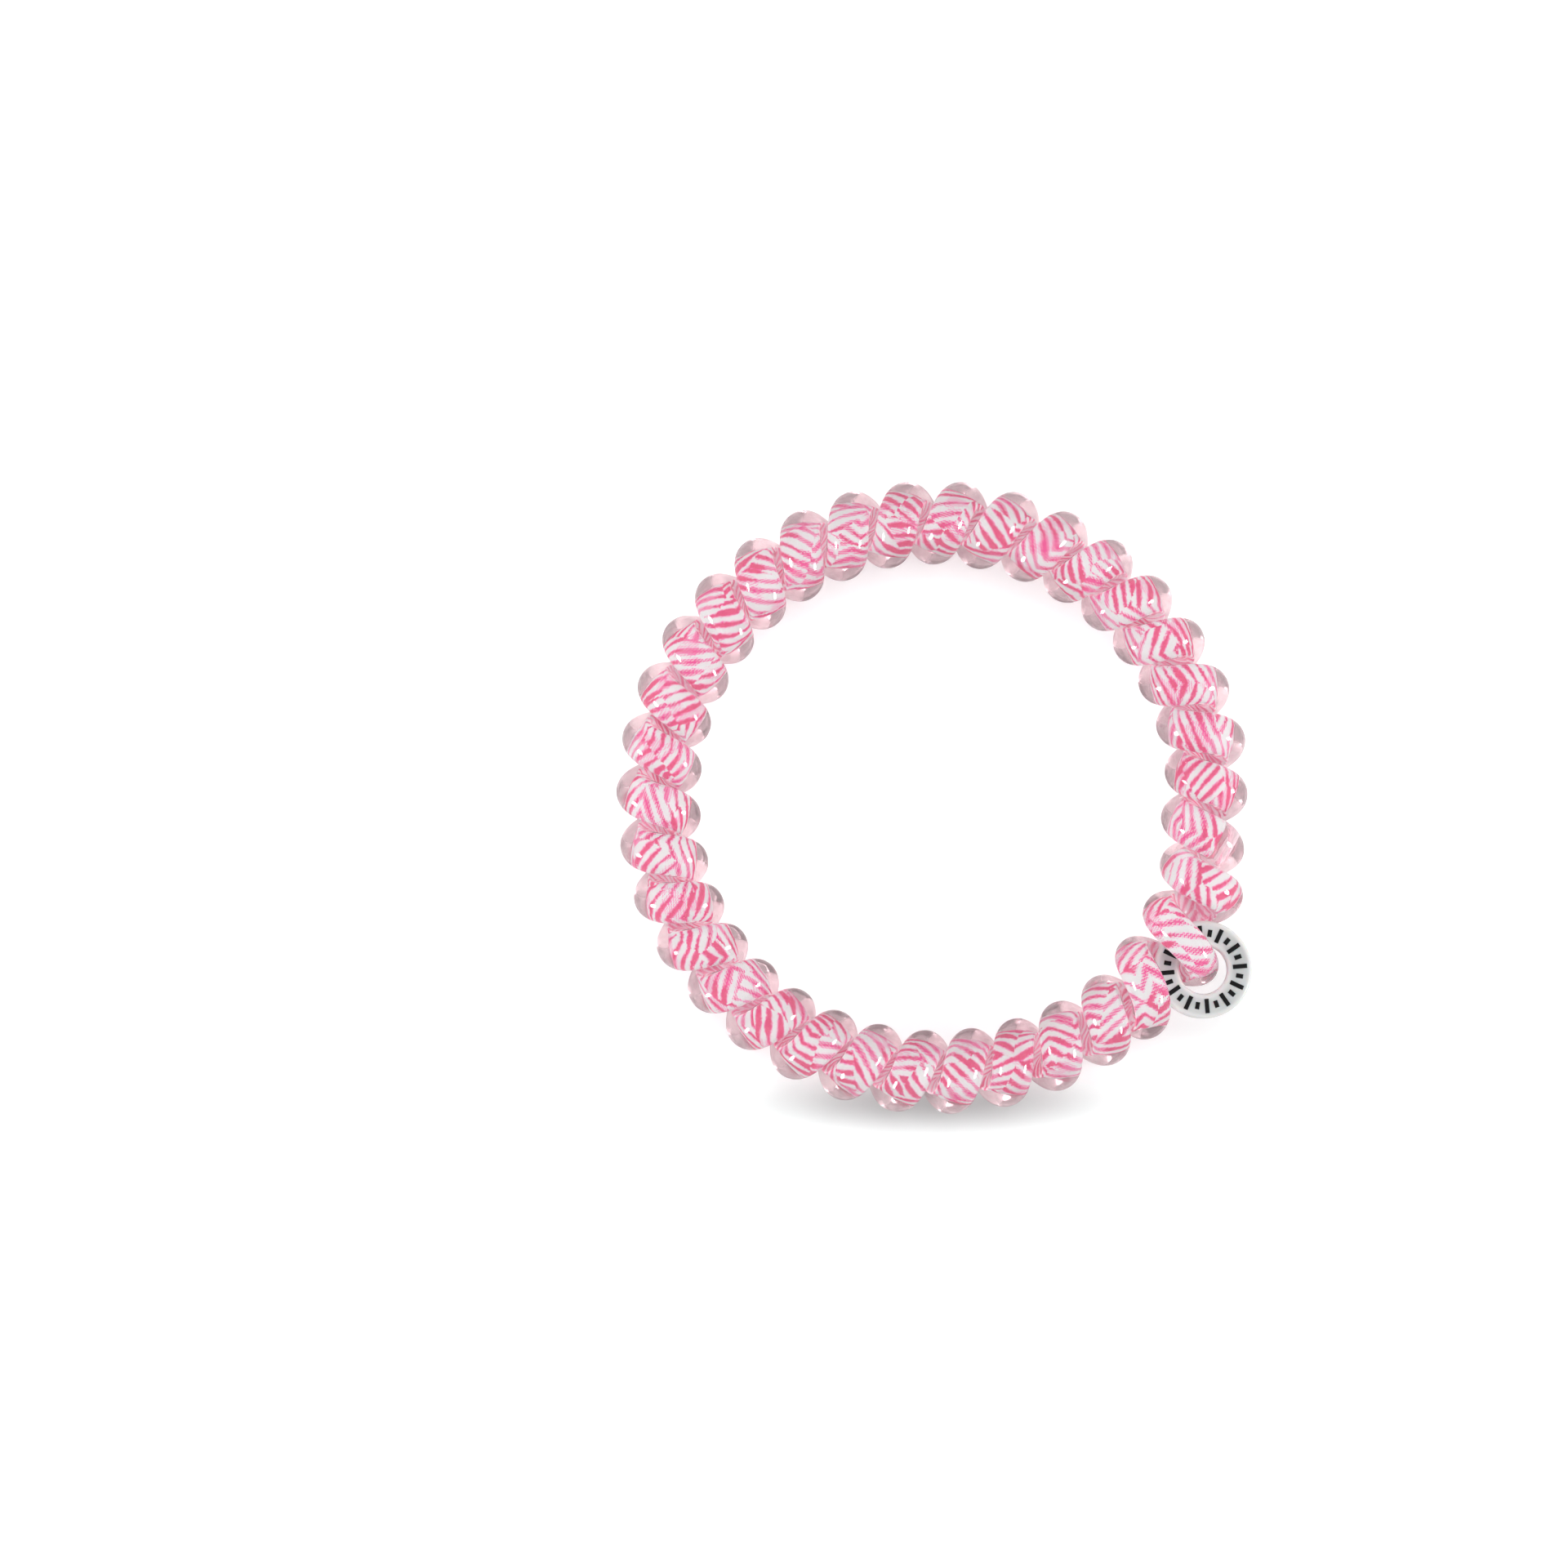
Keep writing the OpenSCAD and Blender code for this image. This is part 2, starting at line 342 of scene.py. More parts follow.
def clear_cord_points():
    """An ellipse carried along the cord: away times half_thick cos(turn), plus across times
    half_wide sin(turn). Two waves make its width uneven: slow_count of one in the whole loop,
    and quick_count of the other in each turn. A lump with three corners is added at the joint.
    """
    v = np.arange(turns * RINGS_PER_TURN) / RINGS_PER_TURN
    middle, away, across, w = cord_frame(v)
    thick, wide = cord_size(w)
    turn = 2 * np.pi * np.arange(CORD_SIDES) / CORD_SIDES
    uneven = (slow_wave * np.sin(2 * np.pi * v * slow_count / turns + 1)
              + quick_wave * np.sin(2 * np.pi * v * quick_count))
    at_joint = bell(v - joint_at, joint_fade)[:, None]
    lump = joint_swell * at_joint * (0.6 + 0.4 * np.cos(joint_corners * turn + 0.8)[None, :])
    half_thick = (thick / 2)[:, None] + lump
    half_wide = (wide / 2 + uneven)[:, None] + lump
    out = (away[:, None, :] * (half_thick * np.cos(turn))[..., None]
           + across[:, None, :] * (half_wide * np.sin(turn))[..., None])
    return middle[:, None, :] + out


# %% [markdown]
# The plastic is clear with a faint rose tint and a very smooth surface. Glass that is only glass
# would keep the lamps off the ribbon inside, because a ray towards a lamp can't bend. So for
# shadow rays the surface is a tinted Transparent shader, and for all others it is the glass.
# The transmission is a little less than full, which leaves a share of plain pale plastic and looks
# slightly milky, as soft plastic does. A volume that takes out green and blue makes the long ways
# through the ends of a turn rosier than the short way over the ribbon. Low ripples in the normal
# keep the highlights from being perfect spots.

# %% Finish of the clear cord
RIPPLES_PER_M = 420.0
LAMP_TINT = (0.91, 0.905, 0.905, 1)
ROSE, ROSE_PER_M = (0.88, 0.63, 0.68, 1), 105.0
clear_plastic, tree, shader = new_material(
    "clear_plastic", Base_Color=(0.975, 0.95, 0.955, 1), Roughness=0.03, IOR=1.48,
    Transmission_Weight=0.92, Metallic=0.0)
place = put(tree, "ShaderNodeTexCoord", out=OBJECT)
ripple = put(tree, "ShaderNodeTexNoise", place, None, RIPPLES_PER_M, 2.0)
add_bump(tree, shader, ripple, strength=0.22, distance=0.0002)
lamp_light = put(tree, "ShaderNodeBsdfTransparent", LAMP_TINT)
shadow_ray = put(tree, "ShaderNodeLightPath", out=SHADOW_RAY)
mixed = put(tree, "ShaderNodeMixShader", shadow_ray, shader.outputs[0], lamp_light)
tint = put(tree, "ShaderNodeVolumeAbsorption", ROSE, ROSE_PER_M)
tree.links.new(tint, tree.nodes["Material Output"].inputs["Volume"])
tree.links.new(mixed, tree.nodes["Material Output"].inputs["Surface"])

# %% Make the clear cord
points = clear_cord_points()
clear_coil = new_piece("clear_coil", points, grid_faces(*points.shape[:2], True, True),
                       [clear_plastic])
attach(clear_coil, "root")
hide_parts("coil_cord")

# %% [markdown]
# ## The printed ribbon
# The ribbon is about 0.2 mm thick and lies flat in the cord with its printed face outwards, so the
# cord works as a lens and the print looks half as large again. It is a thin closed band: a front,
# a back and two rounded edges. Its UV map is in millimetres, along and across the band, because
# the print has to follow the band round every turn.

# %% Shape of the ribbon
ribbon_w, ribbon_t, ribbon_inset, ribbon_stop = 2.7, 0.3, 0.15, 1.25
front_at, back_at, edge_pull, crown = 0.5, -0.35, 0.5, 0.1
RIBBON_ACROSS = 9


def band_section():
    """Points round a thin band as (thickness, width) in shares of ribbon_t and half the width:
    the front from side to side, then the back. The edge points are pulled in by edge_pull, and
    all points sink by crown times the square of the width.
    """
    side = np.linspace(-1, 1, RIBBON_ACROSS)
    front = np.stack([np.full_like(side, front_at), side], axis=1)
    back = np.stack([np.full_like(side, back_at), -side], axis=1)
    section = np.concatenate([front, back])
    section[np.abs(section[:, 1]) > 0.99, 0] *= edge_pull
    section[:, 0] -= crown * section[:, 1] ** 2
    return section


def ribbon_points(v, section):
    """The band's section carried along the cord: middle, plus away times its thickness less the
    inset, plus across times its width.
    """
    middle, away, across, w = cord_frame(v)
    half_wide = ribbon_w / 2 * cord_size(w)[1] / cord_w
    offset = section[None, :, 0] * ribbon_t - ribbon_inset
    reach = half_wide[:, None] * section[None, :, 1]
    return (middle[:, None, :] + away[:, None, :] * offset[..., None]
            + across[:, None, :] * reach[..., None])


band = band_section()
ribbon_turns = ribbon_stop / turn_len
ribbon_v = np.linspace(joint_at + ribbon_turns, joint_at + turns - ribbon_turns,
                       (turns - 1) * RINGS_PER_TURN)
ribbon_mm = (ribbon_v[-1] - ribbon_v[0]) * turn_len
print(f"ribbon: {len(ribbon_v)} rings of {len(band)} points")

# %% [markdown]
# ### Weave
# The band is woven from threads about 0.08 mm apart. An image could show them, but nodes stay
# sharp at any distance. A group turns the UV map into cells, one for each place where a thread
# lies on top: it gives the middle of the cell, how far a point is from it, a random number for the
# cell, and whether the cell is an odd or an even one.

# %% Group: weave cells
weave_cells, given, result = new_group(
    "weave_cells", {"Vector": "vector", "Pitch": "value"},
    {"Middle": "vector", "From Middle": "value", "Random": "value", "Odd": "value"})
tree = weave_cells
scaled = put(tree, "ShaderNodeVectorMath", given["Vector"], None, operation="DIVIDE")
both = put(tree, "ShaderNodeCombineXYZ", given["Pitch"], given["Pitch"], 1.0)
tree.links.new(both, scaled.node.inputs[1])
scaled_x = put(tree, "ShaderNodeSeparateXYZ", scaled, out=X)
scaled_y = put(tree, "ShaderNodeSeparateXYZ", scaled, out=Y)
row = sums(tree, "ROUND", scaled_y)
shift = sums(tree, "MULTIPLY", sums(tree, "FLOORED_MODULO", row, 2.0), 0.5)
column = sums(tree, "ROUND", sums(tree, "ADD", scaled_x, shift))
number = put(tree, "ShaderNodeCombineXYZ", column, row)
centre = put(tree, "ShaderNodeCombineXYZ", sums(tree, "SUBTRACT", column, shift), row)
inside = put(tree, "ShaderNodeVectorMath", scaled, centre, operation="SUBTRACT")
flat = put(tree, "ShaderNodeVectorMath", inside, (1, 1, 0), operation="MULTIPLY")
distance = put(tree, "ShaderNodeVectorMath", flat, operation="LENGTH", out=1)
cell_middle = put(tree, "ShaderNodeVectorMath", centre, both, operation="MULTIPLY")
chance = put(tree, "ShaderNodeTexWhiteNoise", number, noise_dimensions="2D")
odd = sums(tree, "FLOORED_MODULO", sums(tree, "ADD", column, row), 2.0)
for label, socket in zip(("Middle", "From Middle", "Random", "Odd"),
                         (cell_middle, distance, chance, odd)):
    tree.links.new(socket, result.inputs[label])
print(f"weave_cells: {len(tree.nodes)} nodes")

# %% [markdown]
# ### Zebra print
# Zebra stripes lie in patches. Inside a patch they are parallel, each patch has its own slant, and
# where two patches meet the stripes fork or stop short. In many patches they are folded about the
# patch's middle, which makes arrowheads. A Voronoi texture stretched along the band gives the
# patches: its colour is a patch's luck, which sets the slant and the fold, and its position is the
# patch's middle. A stripe is a wave of the length along the band plus the slant times the distance
# across it. Dividing by the length of the vector (1, slant) keeps all stripes equally far apart,
# and noise makes them thicker and thinner and lets them wander.

# %% Group: zebra print, the patches and their slant
PATCHES_PER_MM = (0.3, 0.37, 0.0)
UNFOLDED_SHARE = 0.35
INK_SHARE, SHARE_RANGE = 0.52, 0.26
STEEP_RANGE, LEAST_STEEP = 1.2, 0.4
zebra_print, given, result = new_group(
    "zebra_print", {"Vector": "vector", "Period": "value", "Slant": "value", "Wander": "value"},
    {"Ink": "value", "Patch": "value", "Tone": "value"})
tree = zebra_print
along_band = put(tree, "ShaderNodeSeparateXYZ", given["Vector"], out=X)
across_band = put(tree, "ShaderNodeSeparateXYZ", given["Vector"], out=Y)
stretched = put(tree, "ShaderNodeVectorMath", given["Vector"], PATCHES_PER_MM,
                operation="MULTIPLY")
patches = tree.nodes.new("ShaderNodeTexVoronoi")
patches.voronoi_dimensions = "2D"
patches.inputs["Scale"].default_value = 1.0
patches.inputs["Randomness"].default_value = 0.9
tree.links.new(stretched, patches.inputs["Vector"])
luck = put(tree, "ShaderNodeSeparateColor", patches.outputs["Color"], out=RED)
centre_y = put(tree, "ShaderNodeSeparateXYZ", patches.outputs["Position"], out=Y)
either_way = sums(tree, "SUBTRACT", luck, 0.5)
steep = sums(tree, "MULTIPLY_ADD", sums(tree, "ABSOLUTE", either_way), STEEP_RANGE, LEAST_STEEP)
signed = sums(tree, "MULTIPLY", sums(tree, "SIGN", either_way), steep)
slant = sums(tree, "MULTIPLY", signed, given["Slant"])
centre_mm = sums(tree, "DIVIDE", centre_y, PATCHES_PER_MM[Y])
off_centre = sums(tree, "SUBTRACT", across_band, centre_mm)
fold = put(tree, "ShaderNodeSeparateColor", patches.outputs["Color"], out=GREEN)
chosen = sums(tree, "GREATER_THAN", fold, UNFOLDED_SHARE)
arm = put(tree, "ShaderNodeMix", chosen, None, off_centre, sums(tree, "ABSOLUTE", off_centre))
bent = sums(tree, "MULTIPLY_ADD", arm, slant, along_band)


# %% Group: zebra print, the stripes
def fine_noise(scale, start, detail=1.0):
    """A value from about -1 to 1 that changes along and across the band."""
    moved = put(tree, "ShaderNodeVectorMath", given["Vector"], (start, start, 0.0), operation="ADD")
    noise = put(tree, "ShaderNodeTexNoise", moved, None, scale, detail, noise_dimensions="2D")
    return sums(tree, "MULTIPLY_ADD", noise, 4.0, -2.0)


warped = sums(tree, "MULTIPLY_ADD", fine_noise(0.45, 9.0, 0.0), given["Wander"], bent)
length_up = sums(tree, "SQRT", sums(tree, "MULTIPLY_ADD", slant, slant, 1.0))
wave = sums(tree, "DIVIDE", warped, sums(tree, "MULTIPLY", given["Period"], length_up))
saw = sums(tree, "FRACT", wave)
from_line = sums(tree, "ABSOLUTE", sums(tree, "MULTIPLY_ADD", saw, 2.0, -1.0))
share = sums(tree, "MULTIPLY_ADD", fine_noise(0.6, 23.0), SHARE_RANGE, INK_SHARE)
ink = sums(tree, "SUBTRACT", share, from_line)
tone = ramp(tree, fine_noise(0.33, 211.0, 0.0), -0.5, 0.5)
patch = ramp(tree, fine_noise(0.42, 61.0), 0.42, 0.6)
tree.links.new(ink, result.inputs["Ink"])
tree.links.new(patch, result.inputs["Patch"])
tree.links.new(tone, result.inputs["Tone"])
print(f"zebra_print: {len(tree.nodes)} nodes")

# %% [markdown]
# ### Ink on the weave
# The ink takes thread tops one by one, so a stripe's edge is ragged, and in its paler parts only
# every second cell is full. A thin wash of the same ink lies between the tops, and the middle of a
# stripe is a deeper pink than its edge. The back of the band shows the same print, duller, because
# the ink only soaks part of the way through, and it is given a faint light of its own, because the
# lamps hardly reach it. On the back the ink fades out over the last few millimetres before the
# joint, because the clear cord would enlarge it there into one broad pink patch.

# %% Finishes of the ribbon's front and back
WEAVE_PITCH, STRIPE_PERIOD = 0.085, 0.76
SEEN_THROUGH = 0.4


def inked_cells(tree, cell, zebra):
    """How much ink a point has, from 0 to 1. In each cell it is a dot whose reach grows with the
    stripe's ink, less in the odd cells where the tone is pale, with a thin wash under it.
    """
    luck = sums(tree, "MULTIPLY_ADD", cell["Random"], 0.22, -0.11)
    level = sums(tree, "ADD", zebra["Ink"], luck)
    paler = sums(tree, "MULTIPLY_ADD", zebra["Tone"], 0.38, -0.44)
    toned = sums(tree, "ADD", level, sums(tree, "MULTIPLY_ADD", cell["Odd"], paler, 0.1))
    reach = ramp(tree, toned, -0.08, 0.3, 0.0, 0.72)
    in_patch = sums(tree, "MULTIPLY", ramp(tree, level, -0.6, -0.5), zebra["Patch"])
    sparse_reach = sums(tree, "MULTIPLY", sums(tree, "MULTIPLY", in_patch, cell["Odd"]), 0.42)
    room = sums(tree, "SUBTRACT", sums(tree, "MAXIMUM", reach, sparse_reach), cell["From Middle"])
    wash = ramp(tree, zebra["Ink"], -0.2, 0.3, 0.0, 0.45)
    return sums(tree, "MAXIMUM", ramp(tree, room, -0.28, 0.24), wash)


def ink_depth(tree, cell, zebra):
    """How deep the pink is, from 0 to 1: most in the middle of a stripe, where the tone is dark."""
    middle_ink = ramp(tree, zebra["Ink"], 0.0, 0.36)
    by_tone = sums(tree, "MULTIPLY_ADD", zebra["Tone"], 0.9, 0.5)
    by_luck = sums(tree, "MULTIPLY_ADD", cell["Random"], 0.6, 0.7)
    return sums(tree, "MULTIPLY", sums(tree, "MULTIPLY", middle_ink, by_tone), by_luck)


def ribbon_finish(name, cloth, shaded_gap, pink, deep, strength, fade_mm, painted_glow):
    """Cloth with the zebra print: ink of two depths over the threads, cell by cell, and painted
    shade in the gaps between the thread tops. The ink's strength falls to nothing over the last
    fade_mm of the band. The last value makes the cloth glow faintly, a painted light.
    """
    material, tree, shader = new_material(
        name, Roughness=0.62, Sheen_Weight=0.12, Specular_IOR_Level=0.3)
    strip = put(tree, "ShaderNodeUVMap", uv_map="strip")
    cell = use_group(tree, weave_cells, Vector=strip, Pitch=WEAVE_PITCH)
    zebra = use_group(tree, zebra_print, Vector=cell["Middle"], Period=STRIPE_PERIOD,
                      Slant=1.0, Wander=0.12)
    along_strip = put(tree, "ShaderNodeSeparateXYZ", strip, out=X)
    to_end = sums(tree, "SUBTRACT", ribbon_mm, along_strip)
    kept = ramp(tree, to_end, 0.5, fade_mm, 0.0, strength)
    amount = sums(tree, "MULTIPLY", inked_cells(tree, cell, zebra), kept)
    thread = ramp(tree, cell["From Middle"], 0.62, 0.34)
    colour = blend(tree, ink_depth(tree, cell, zebra), pink, deep)
    # Painted shade: the cloth is darker in the gaps between the thread tops.
    inked = blend(tree, amount, blend(tree, thread, shaded_gap, cloth), colour)
    tree.links.new(inked, shader.inputs["Base Color"])
    # Painted light: the cloth glows faintly, because the lamps hardly reach the back of the band.
    if painted_glow:
        tree.links.new(inked, shader.inputs["Emission Color"])
        shader.inputs["Emission Strength"].default_value = painted_glow
    add_bump(tree, shader, thread, strength=0.5, distance=0.00003)
    glow = put(tree, "ShaderNodeBsdfTranslucent", inked)
    both_sides = put(tree, "ShaderNodeMixShader", SEEN_THROUGH, shader.outputs[0], glow)
    tree.links.new(both_sides, tree.nodes["Material Output"].inputs["Surface"])
    print(f"{name}: {len(tree.nodes)} nodes")
    return material


printed_front = ribbon_finish(
    "printed_front", cloth=(0.75, 0.93, 0.88, 1), shaded_gap=(0.68, 0.84, 0.81, 1),
    pink=(0.84, 0.025, 0.385, 1), deep=(0.7, 0.0, 0.165, 1),
    strength=1.0, fade_mm=0.6, painted_glow=0.0)
printed_back = ribbon_finish(
    "printed_back", cloth=(0.88, 0.8, 0.83, 1), shaded_gap=(0.8, 0.71, 0.75, 1),
    pink=(0.82, 0.17, 0.4, 1), deep=(0.74, 0.05, 0.22, 1),
    strength=0.85, fade_mm=4.5, painted_glow=0.4)

# %% Make the ribbon
rings, columns = len(ribbon_v), len(band)
faces, caps = grid_faces(rings, columns, False, True), end_caps(rings, columns)
on_front = np.tile(np.arange(columns), rings - 1) < RIBBON_ACROSS - 1
slots = np.concatenate([np.where(on_front, 0, 1), [1, 1]])
zebra_ribbon = new_piece("zebra_ribbon", ribbon_points(ribbon_v, band), faces,
                         [printed_front, printed_back], slots, caps)
along_mm = (ribbon_v - ribbon_v[0]) * turn_len
across_mm = band[:, 1] * ribbon_w / 2
corner_points = np.concatenate([faces.ravel(), caps.ravel()])
give_uv(zebra_ribbon, along_mm[corner_points // columns], across_mm[corner_points % columns])
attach(zebra_ribbon, "root")
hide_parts("printed_ribbon")

# %% [markdown]
# ## The ring on one turn
# The ring is moulded in a frosted plastic with softly rounded edges. It could be a squashed torus,
# but a profile, half the section of the ring, turned round its axis gives flat faces and the same
# edge radius as the solid. Light goes a little way into frosted plastic, so the finish has some
# subsurface light. The rounded edges are painted paler than the faces, a painted highlight where
# they catch the light. The UV map holds the distance from the ring's axis, which tells the two
# apart.

# %% Finish of the ring
CLOUDS_PER_M, GRAINS_PER_M = 240.0, 5200.0
frosted_plastic, tree, shader = new_material(
    "frosted_plastic", IOR=1.46, Subsurface_Weight=0.3, Subsurface_Scale=0.0006)
place = put(tree, "ShaderNodeTexCoord", out=OBJECT)
strip = put(tree, "ShaderNodeUVMap", uv_map="strip")
from_axis = put(tree, "ShaderNodeSeparateXYZ", strip, out=X)
# Painted highlight: the rounded edges, where they catch the light, are painted paler than the
# faces.
outer_edge_highlight, inner_edge_highlight = ramp(tree, from_axis, 3.7, 4.15), ramp(tree, from_axis, 2.75, 2.15)
edges = sums(tree, "MAXIMUM", outer_edge_highlight, inner_edge_highlight)
cloud = ramp(tree, put(tree, "ShaderNodeTexNoise", place, None, CLOUDS_PER_M, 1.0), 0.35, 0.65)
face = blend(tree, cloud, (0.49, 0.5, 0.5, 1), (0.6, 0.615, 0.61, 1))
tree.links.new(blend(tree, edges, face, (0.68, 0.7, 0.695, 1)), shader.inputs["Base Color"])
grain = put(tree, "ShaderNodeTexNoise", place, None, GRAINS_PER_M, 3.0)
rough = ramp(tree, grain, 0.3, 0.7, 0.3, 0.48)
tree.links.new(rough, shader.inputs["Roughness"])
add_bump(tree, shader, grain, strength=0.15, distance=0.00002)


# %% Shape of the ring
def tag_place(points):
    """Turns and moves points from the ring's own axes to where it hangs on the coil."""
    tag_turn = np.radians(tag_tilt)
    tilt = np.array([[1, 0, 0], [0, np.cos(tag_turn), -np.sin(tag_turn)],
                     [0, np.sin(tag_turn), np.cos(tag_turn)]])
    round_loop = np.radians(tag_angle)
    spin = np.array([[np.cos(round_loop), -np.sin(round_loop), 0],
                     [np.sin(round_loop), np.cos(round_loop), 0], [0, 0, 1]])
    middle, outwards = cord_middle(np.array([0.0]))[:2]
    return points @ tilt.T @ spin.T + middle[0] + tag_shift * outwards[0]


RING_STEPS, CORNER_STEPS = 160, 8
quarter = np.linspace(0, np.pi / 2, CORNER_STEPS)
corner_r = np.sin(quarter)
corner_z = np.cos(quarter)
half_t = tag_t / 2
inner, outer = tag_hole / 2, tag_od / 2
profile = np.concatenate([
    np.stack([outer - tag_edge + tag_edge * corner_r, half_t - tag_edge + tag_edge * corner_z], 1),
    np.stack([outer - tag_edge + tag_edge * corner_z, -half_t + tag_edge - tag_edge * corner_r], 1),
    np.stack([inner + tag_edge - tag_edge * corner_r, -half_t + tag_edge - tag_edge * corner_z], 1),
    np.stack([inner + tag_edge - tag_edge * corner_z, half_t - tag_edge + tag_edge * corner_r], 1)])
spin = 2 * np.pi * np.arange(RING_STEPS) / RING_STEPS
ring_points = np.stack([profile[None, :, 0] * np.cos(spin)[:, None],
                        profile[None, :, 0] * np.sin(spin)[:, None],
                        np.broadcast_to(profile[None, :, 1], (RING_STEPS, len(profile)))], axis=-1)
ring_faces = grid_faces(RING_STEPS, len(profile), True, True, flip=True)
frosted_ring = new_piece("frosted_ring", tag_place(ring_points), ring_faces, [frosted_plastic])
on_profile = profile[ring_faces.ravel() % len(profile)]
give_uv(frosted_ring, on_profile[:, 0], on_profile[:, 1])
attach(frosted_ring, "root")
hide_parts("tag_ring")

# %% [markdown]
# ## The marks on the ring
# The ring's face carries a circle of raised black bars, long and short in turn. Each bar is a
# low pad with rounded edges, standing on the ring's face. One small grid of points is the top of
# one bar, and array arithmetic turns it round the axis to all the places at once.

# %% Finish of the marks
mark_count, mark_w, mark_border, mark_short = 24, 0.38, 0.1, 0.5
PAD, PAD_POWER = 9, 6
black_print, tree, shader = new_material("black_print", Roughness=0.4, Specular_IOR_Level=0.15)
place = put(tree, "ShaderNodeTexCoord", out=OBJECT)
speck = put(tree, "ShaderNodeTexNoise", place, None, 6000.0, 2.0)
tree.links.new(blend(tree, speck, (0.003, 0.003, 0.003, 1), (0.01, 0.01, 0.011, 1)),
               shader.inputs["Base Color"])
add_bump(tree, shader, speck, strength=0.2, distance=0.00002)

# %% Make the marks: the height over a pad is sqrt(1 - x^6) times sqrt(1 - y^6)
side = np.sin(np.linspace(-np.pi / 2, np.pi / 2, PAD))
pad_x, pad_y = np.meshgrid(side, side, indexing="ij")
pad_z = (1 - np.abs(pad_x) ** PAD_POWER) ** 0.5 * (1 - np.abs(pad_y) ** PAD_POWER) ** 0.5
first = inner + tag_edge + mark_border
last = outer - tag_edge - mark_border
number = np.arange(mark_count)
bar_len = (last - first) * np.where(number % 2 == 0, 1, mark_short)
bar_turn = np.radians(360 / mark_count * (number + 0.5))
reach = (first + last) / 2 + pad_x[None] * bar_len[:, None, None] / 2
wide = np.broadcast_to(pad_y[None] * mark_w / 2, reach.shape)
high = np.broadcast_to(half_t + mark_h * pad_z[None], reach.shape)
cos_t, sin_t = np.cos(bar_turn)[:, None, None], np.sin(bar_turn)[:, None, None]
tops = np.stack([reach * cos_t - wide * sin_t, reach * sin_t + wide * cos_t, high], axis=-1)
bottoms = tops.copy()
bottoms[..., 2] = half_t
top_faces = grid_faces(PAD, PAD, False, False, flip=True)
both_faces = np.concatenate([top_faces, top_faces[:, ::-1] + PAD * PAD])
pads = np.concatenate([tops.reshape(mark_count, -1, 3), bottoms.reshape(mark_count, -1, 3)], axis=1)
faces = (both_faces[None] + (number * 2 * PAD * PAD)[:, None, None]).reshape(-1, 4)
raised_bars = new_piece("raised_bars", tag_place(pads), faces, [black_print])
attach(raised_bars, "root")
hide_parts("tag_marks")

# %% [markdown]
# ## The joint
# Where the two ends are melted together there is no ribbon, only cloudy plastic with a few thin
# streaks of pink. The lump outside is part of the clear cord's surface, so this piece is only the
# cloud inside it: a flat, rounded core. Its alpha comes from noise that is drawn out along the
# joint, so it shows as wisps and not as something solid.

# %% Finish of the joint's core
STREAKS_PER_M, DRAWN_OUT = 3000.0, (1.0, 0.22, 0.5)
cloudy_plastic, tree, shader = new_material(
    "cloudy_plastic", Roughness=0.5, IOR=1.48, Specular_IOR_Level=0.1)
place = put(tree, "ShaderNodeTexCoord", out=OBJECT)
drawn_out = put(tree, "ShaderNodeVectorMath", place, DRAWN_OUT, operation="MULTIPLY")
streak = put(tree, "ShaderNodeTexNoise", drawn_out, None, STREAKS_PER_M, 2.0)
tree.links.new(blend(tree, ramp(tree, streak, 0.45, 0.62), (0.92, 0.86, 0.88, 1),
                     (0.85, 0.22, 0.38, 1)), shader.inputs["Base Color"])
tree.links.new(ramp(tree, streak, 0.46, 0.72, 0.0, 0.6), shader.inputs["Alpha"])

# %% Shape of the joint's core
CORE_RINGS, CORE_SIDES = 24, 24
core_half_len, core_half_t, core_half_w, core_inset = 1.15, 0.4, 1.25, 0.15


def core_points():
    """A flat ellipse carried along the cord, scaled by sqrt(1 - s^2) as s goes from -1 to 1."""
    s = np.linspace(-1, 1, CORE_RINGS)
    middle, away, across, _ = cord_frame(joint_at + s * core_half_len / turn_len)
    round_off = np.sqrt(np.clip(1 - s**2, 0.0004, 1))[:, None]
    turn = 2 * np.pi * np.arange(CORE_SIDES) / CORE_SIDES
    return (middle[:, None, :] - core_inset * away[:, None, :]
            + away[:, None, :] * (core_half_t * round_off * np.cos(turn))[..., None]
            + across[:, None, :] * (core_half_w * round_off * np.sin(turn))[..., None])


melted_core = new_piece("melted_core", core_points(),
                        grid_faces(CORE_RINGS, CORE_SIDES, False, True), [cloudy_plastic],
                        caps=end_caps(CORE_RINGS, CORE_SIDES))
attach(melted_core, "root")
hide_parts("welded_joint")

# %% [markdown]
# ## Floor and light
# The tie lies on a plain white floor. Two small bright lamps, low at the left and the right, give
# every turn its two crisp highlights. A large soft lamp at the top lights the rest. It is hidden
# from mirrored rays, because its reflection would lay a pale veil over the print. The floor is
# nearly pure white with one soft grey shadow below the loop. So it glows a little to the camera, a
# painted light that washes out the real shadows, its paint is tinted faintly cyan against the pink
# light from the tie, and a grey oval in its colour is a painted shadow below the loop. To bent rays
# it is painted darker and mottled, a painted shade for the shaded floor under the coil, which gives
# the clear ends of the turns their soft, uneven look.

# %% Floor
FLOOR_HALF = 1.5
floor_mesh = bpy.data.meshes.new("floor")
corners = [(-FLOOR_HALF, -FLOOR_HALF, 0), (FLOOR_HALF, -FLOOR_HALF, 0),
           (FLOOR_HALF, FLOOR_HALF, 0), (-FLOOR_HALF, FLOOR_HALF, 0)]
floor_mesh.from_pydata(corners, [], [(0, 1, 2, 3)])
floor = bpy.data.objects.new("floor", floor_mesh)
bpy.context.collection.objects.link(floor)
